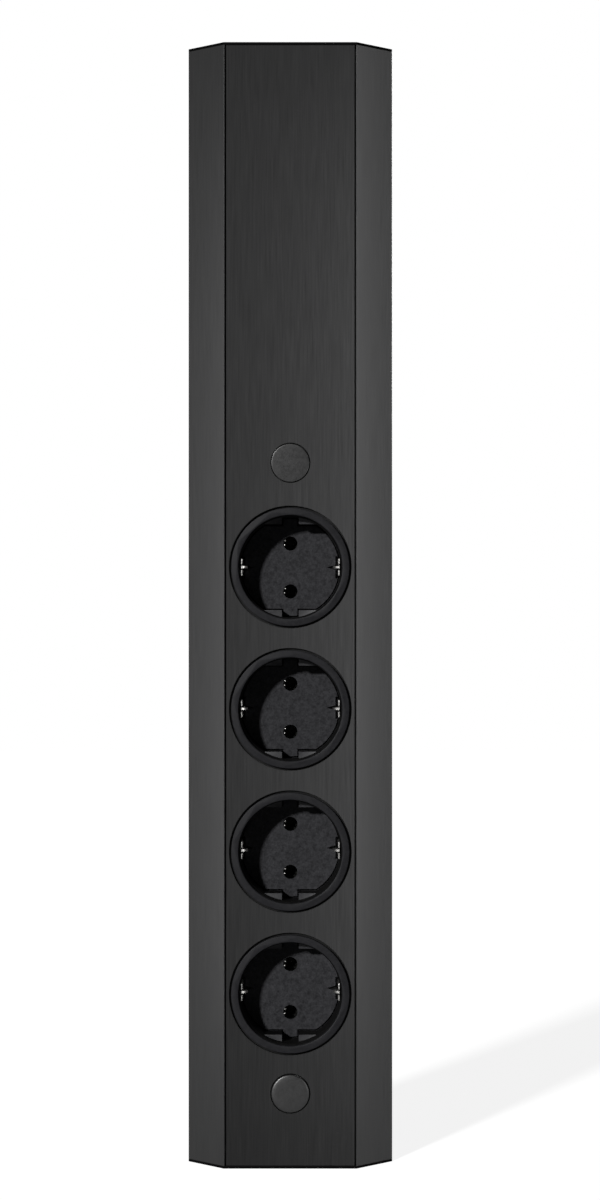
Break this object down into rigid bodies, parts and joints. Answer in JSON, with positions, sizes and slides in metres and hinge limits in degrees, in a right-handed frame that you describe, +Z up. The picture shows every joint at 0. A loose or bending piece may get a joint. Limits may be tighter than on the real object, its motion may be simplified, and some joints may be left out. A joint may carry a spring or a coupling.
{
  "type": "corner socket tower",
  "caption": "Slim corner tower with a row of earthed sockets set in a black brushed aluminium profile for an inner wall corner",
  "frame": {"origin": "on the foot, under the middle of the outer box", "axes": "+Z up along the tower, -Y out of the front panel, +X to the right seen from the front"},
  "size_m": [0.0806, 0.0452, 0.44],
  "materials": {
    "black_anodised": "black anodised, fine lengthwise brushing",
    "black_brushed": "black anodised, fine lengthwise brushing",
    "socket_plastic": "black thermoset, half gloss",
    "cap_plastic": "black, fine spark-eroded texture",
    "cover_plastic": "charcoal, half matt",
    "dark_plastic": "dark grey, moulded",
    "black_screw": "black zinc",
    "coated_steel": "black dip coat, half matt",
    "zinc_steel": "bright zinc plate",
    "spring_steel": "nickel-plated spring steel",
    "brass": "plain brass",
    "rubber": "black rubber",
    "white_nylon": "natural nylon",
    "brown_pvc": "brown insulation",
    "blue_pvc": "blue insulation",
    "green_yellow_pvc": "green and yellow insulation"
  },
  "bodies": {
    "tower": {"body_profile": "black_anodised", "front_panel": "black_brushed", "socket_carrier": "coated_steel", "top_end_cap": "cap_plastic", "bottom_end_cap": "cap_plastic", "top_cap_screws": "black_screw", "bottom_cap_screws": "black_screw", "fixing_screws": "zinc_steel", "clamp_bars": "zinc_steel", "press_nuts": "zinc_steel", "cable_grommet": "rubber", "terminal_block": "white_nylon", "terminal_sleeves": "brass", "terminal_clamp_screws": "zinc_steel", "terminal_block_screws": "zinc_steel", "line_wires": "brown_pvc", "neutral_wires": "blue_pvc", "earth_wires": "green_yellow_pvc", "earth_bond_lead": "green_yellow_pvc", "earth_bond_screw": "zinc_steel", "socket_terminal_screws": "zinc_steel", "socket_1_cup": "socket_plastic", "socket_1_retaining_nut": "dark_plastic", "socket_1_line_contact": "brass", "socket_1_neutral_contact": "brass", "socket_1_earth_yoke": "spring_steel", "socket_1_base": "dark_plastic", "socket_1_base_screws": "zinc_steel", "socket_2_cup": "socket_plastic", "socket_2_retaining_nut": "dark_plastic", "socket_2_line_contact": "brass", "socket_2_neutral_contact": "brass", "socket_2_earth_yoke": "spring_steel", "socket_2_base": "dark_plastic", "socket_2_base_screws": "zinc_steel", "socket_3_cup": "socket_plastic", "socket_3_retaining_nut": "dark_plastic", "socket_3_line_contact": "brass", "socket_3_neutral_contact": "brass", "socket_3_earth_yoke": "spring_steel", "socket_3_base": "dark_plastic", "socket_3_base_screws": "zinc_steel", "socket_4_cup": "socket_plastic", "socket_4_retaining_nut": "dark_plastic", "socket_4_line_contact": "brass", "socket_4_neutral_contact": "brass", "socket_4_earth_yoke": "spring_steel", "socket_4_base": "dark_plastic", "socket_4_base_screws": "zinc_steel"},
    "upper_cover": {"upper_screw_cover": "cover_plastic"},
    "lower_cover": {"lower_screw_cover": "cover_plastic"},
    "socket_1_finger_left": {"socket_1_earth_finger_left": "spring_steel"},
    "socket_1_finger_right": {"socket_1_earth_finger_right": "spring_steel"},
    "socket_2_finger_left": {"socket_2_earth_finger_left": "spring_steel"},
    "socket_2_finger_right": {"socket_2_earth_finger_right": "spring_steel"},
    "socket_3_finger_left": {"socket_3_earth_finger_left": "spring_steel"},
    "socket_3_finger_right": {"socket_3_earth_finger_right": "spring_steel"},
    "socket_4_finger_left": {"socket_4_earth_finger_left": "spring_steel"},
    "socket_4_finger_right": {"socket_4_earth_finger_right": "spring_steel"}
  },
  "joints": [
    {"name": "upper_cover_pull", "type": "slide", "parent": "tower", "child": "upper_cover", "axis": [0, -1, 0], "range_m": [0, 0.012]},
    {"name": "lower_cover_pull", "type": "slide", "parent": "tower", "child": "lower_cover", "axis": [0, -1, 0], "range_m": [0, 0.012]},
    {"name": "socket_1_left_finger_flex", "type": "hinge", "parent": "tower", "child": "socket_1_finger_left", "pos_m": [-0.0192, -0.00155, 0.235], "axis": [0, 0, -1], "range_deg": [0, 4.5], "stiffness_Nm_per_rad": 0.5},
    {"name": "socket_1_right_finger_flex", "type": "hinge", "parent": "tower", "child": "socket_1_finger_right", "pos_m": [0.0192, -0.00155, 0.235], "axis": [0, 0, 1], "range_deg": [0, 4.5], "stiffness_Nm_per_rad": 0.5},
    {"name": "socket_2_left_finger_flex", "type": "hinge", "parent": "tower", "child": "socket_2_finger_left", "pos_m": [-0.0192, -0.00155, 0.1794], "axis": [0, 0, -1], "range_deg": [0, 4.5], "stiffness_Nm_per_rad": 0.5},
    {"name": "socket_2_right_finger_flex", "type": "hinge", "parent": "tower", "child": "socket_2_finger_right", "pos_m": [0.0192, -0.00155, 0.1794], "axis": [0, 0, 1], "range_deg": [0, 4.5], "stiffness_Nm_per_rad": 0.5},
    {"name": "socket_3_left_finger_flex", "type": "hinge", "parent": "tower", "child": "socket_3_finger_left", "pos_m": [-0.0192, -0.00155, 0.1238], "axis": [0, 0, -1], "range_deg": [0, 4.5], "stiffness_Nm_per_rad": 0.5},
    {"name": "socket_3_right_finger_flex", "type": "hinge", "parent": "tower", "child": "socket_3_finger_right", "pos_m": [0.0192, -0.00155, 0.1238], "axis": [0, 0, 1], "range_deg": [0, 4.5], "stiffness_Nm_per_rad": 0.5},
    {"name": "socket_4_left_finger_flex", "type": "hinge", "parent": "tower", "child": "socket_4_finger_left", "pos_m": [-0.0192, -0.00155, 0.0682], "axis": [0, 0, -1], "range_deg": [0, 4.5], "stiffness_Nm_per_rad": 0.5},
    {"name": "socket_4_right_finger_flex", "type": "hinge", "parent": "tower", "child": "socket_4_finger_right", "pos_m": [0.0192, -0.00155, 0.0682], "axis": [0, 0, 1], "range_deg": [0, 4.5], "stiffness_Nm_per_rad": 0.5}
  ]
}
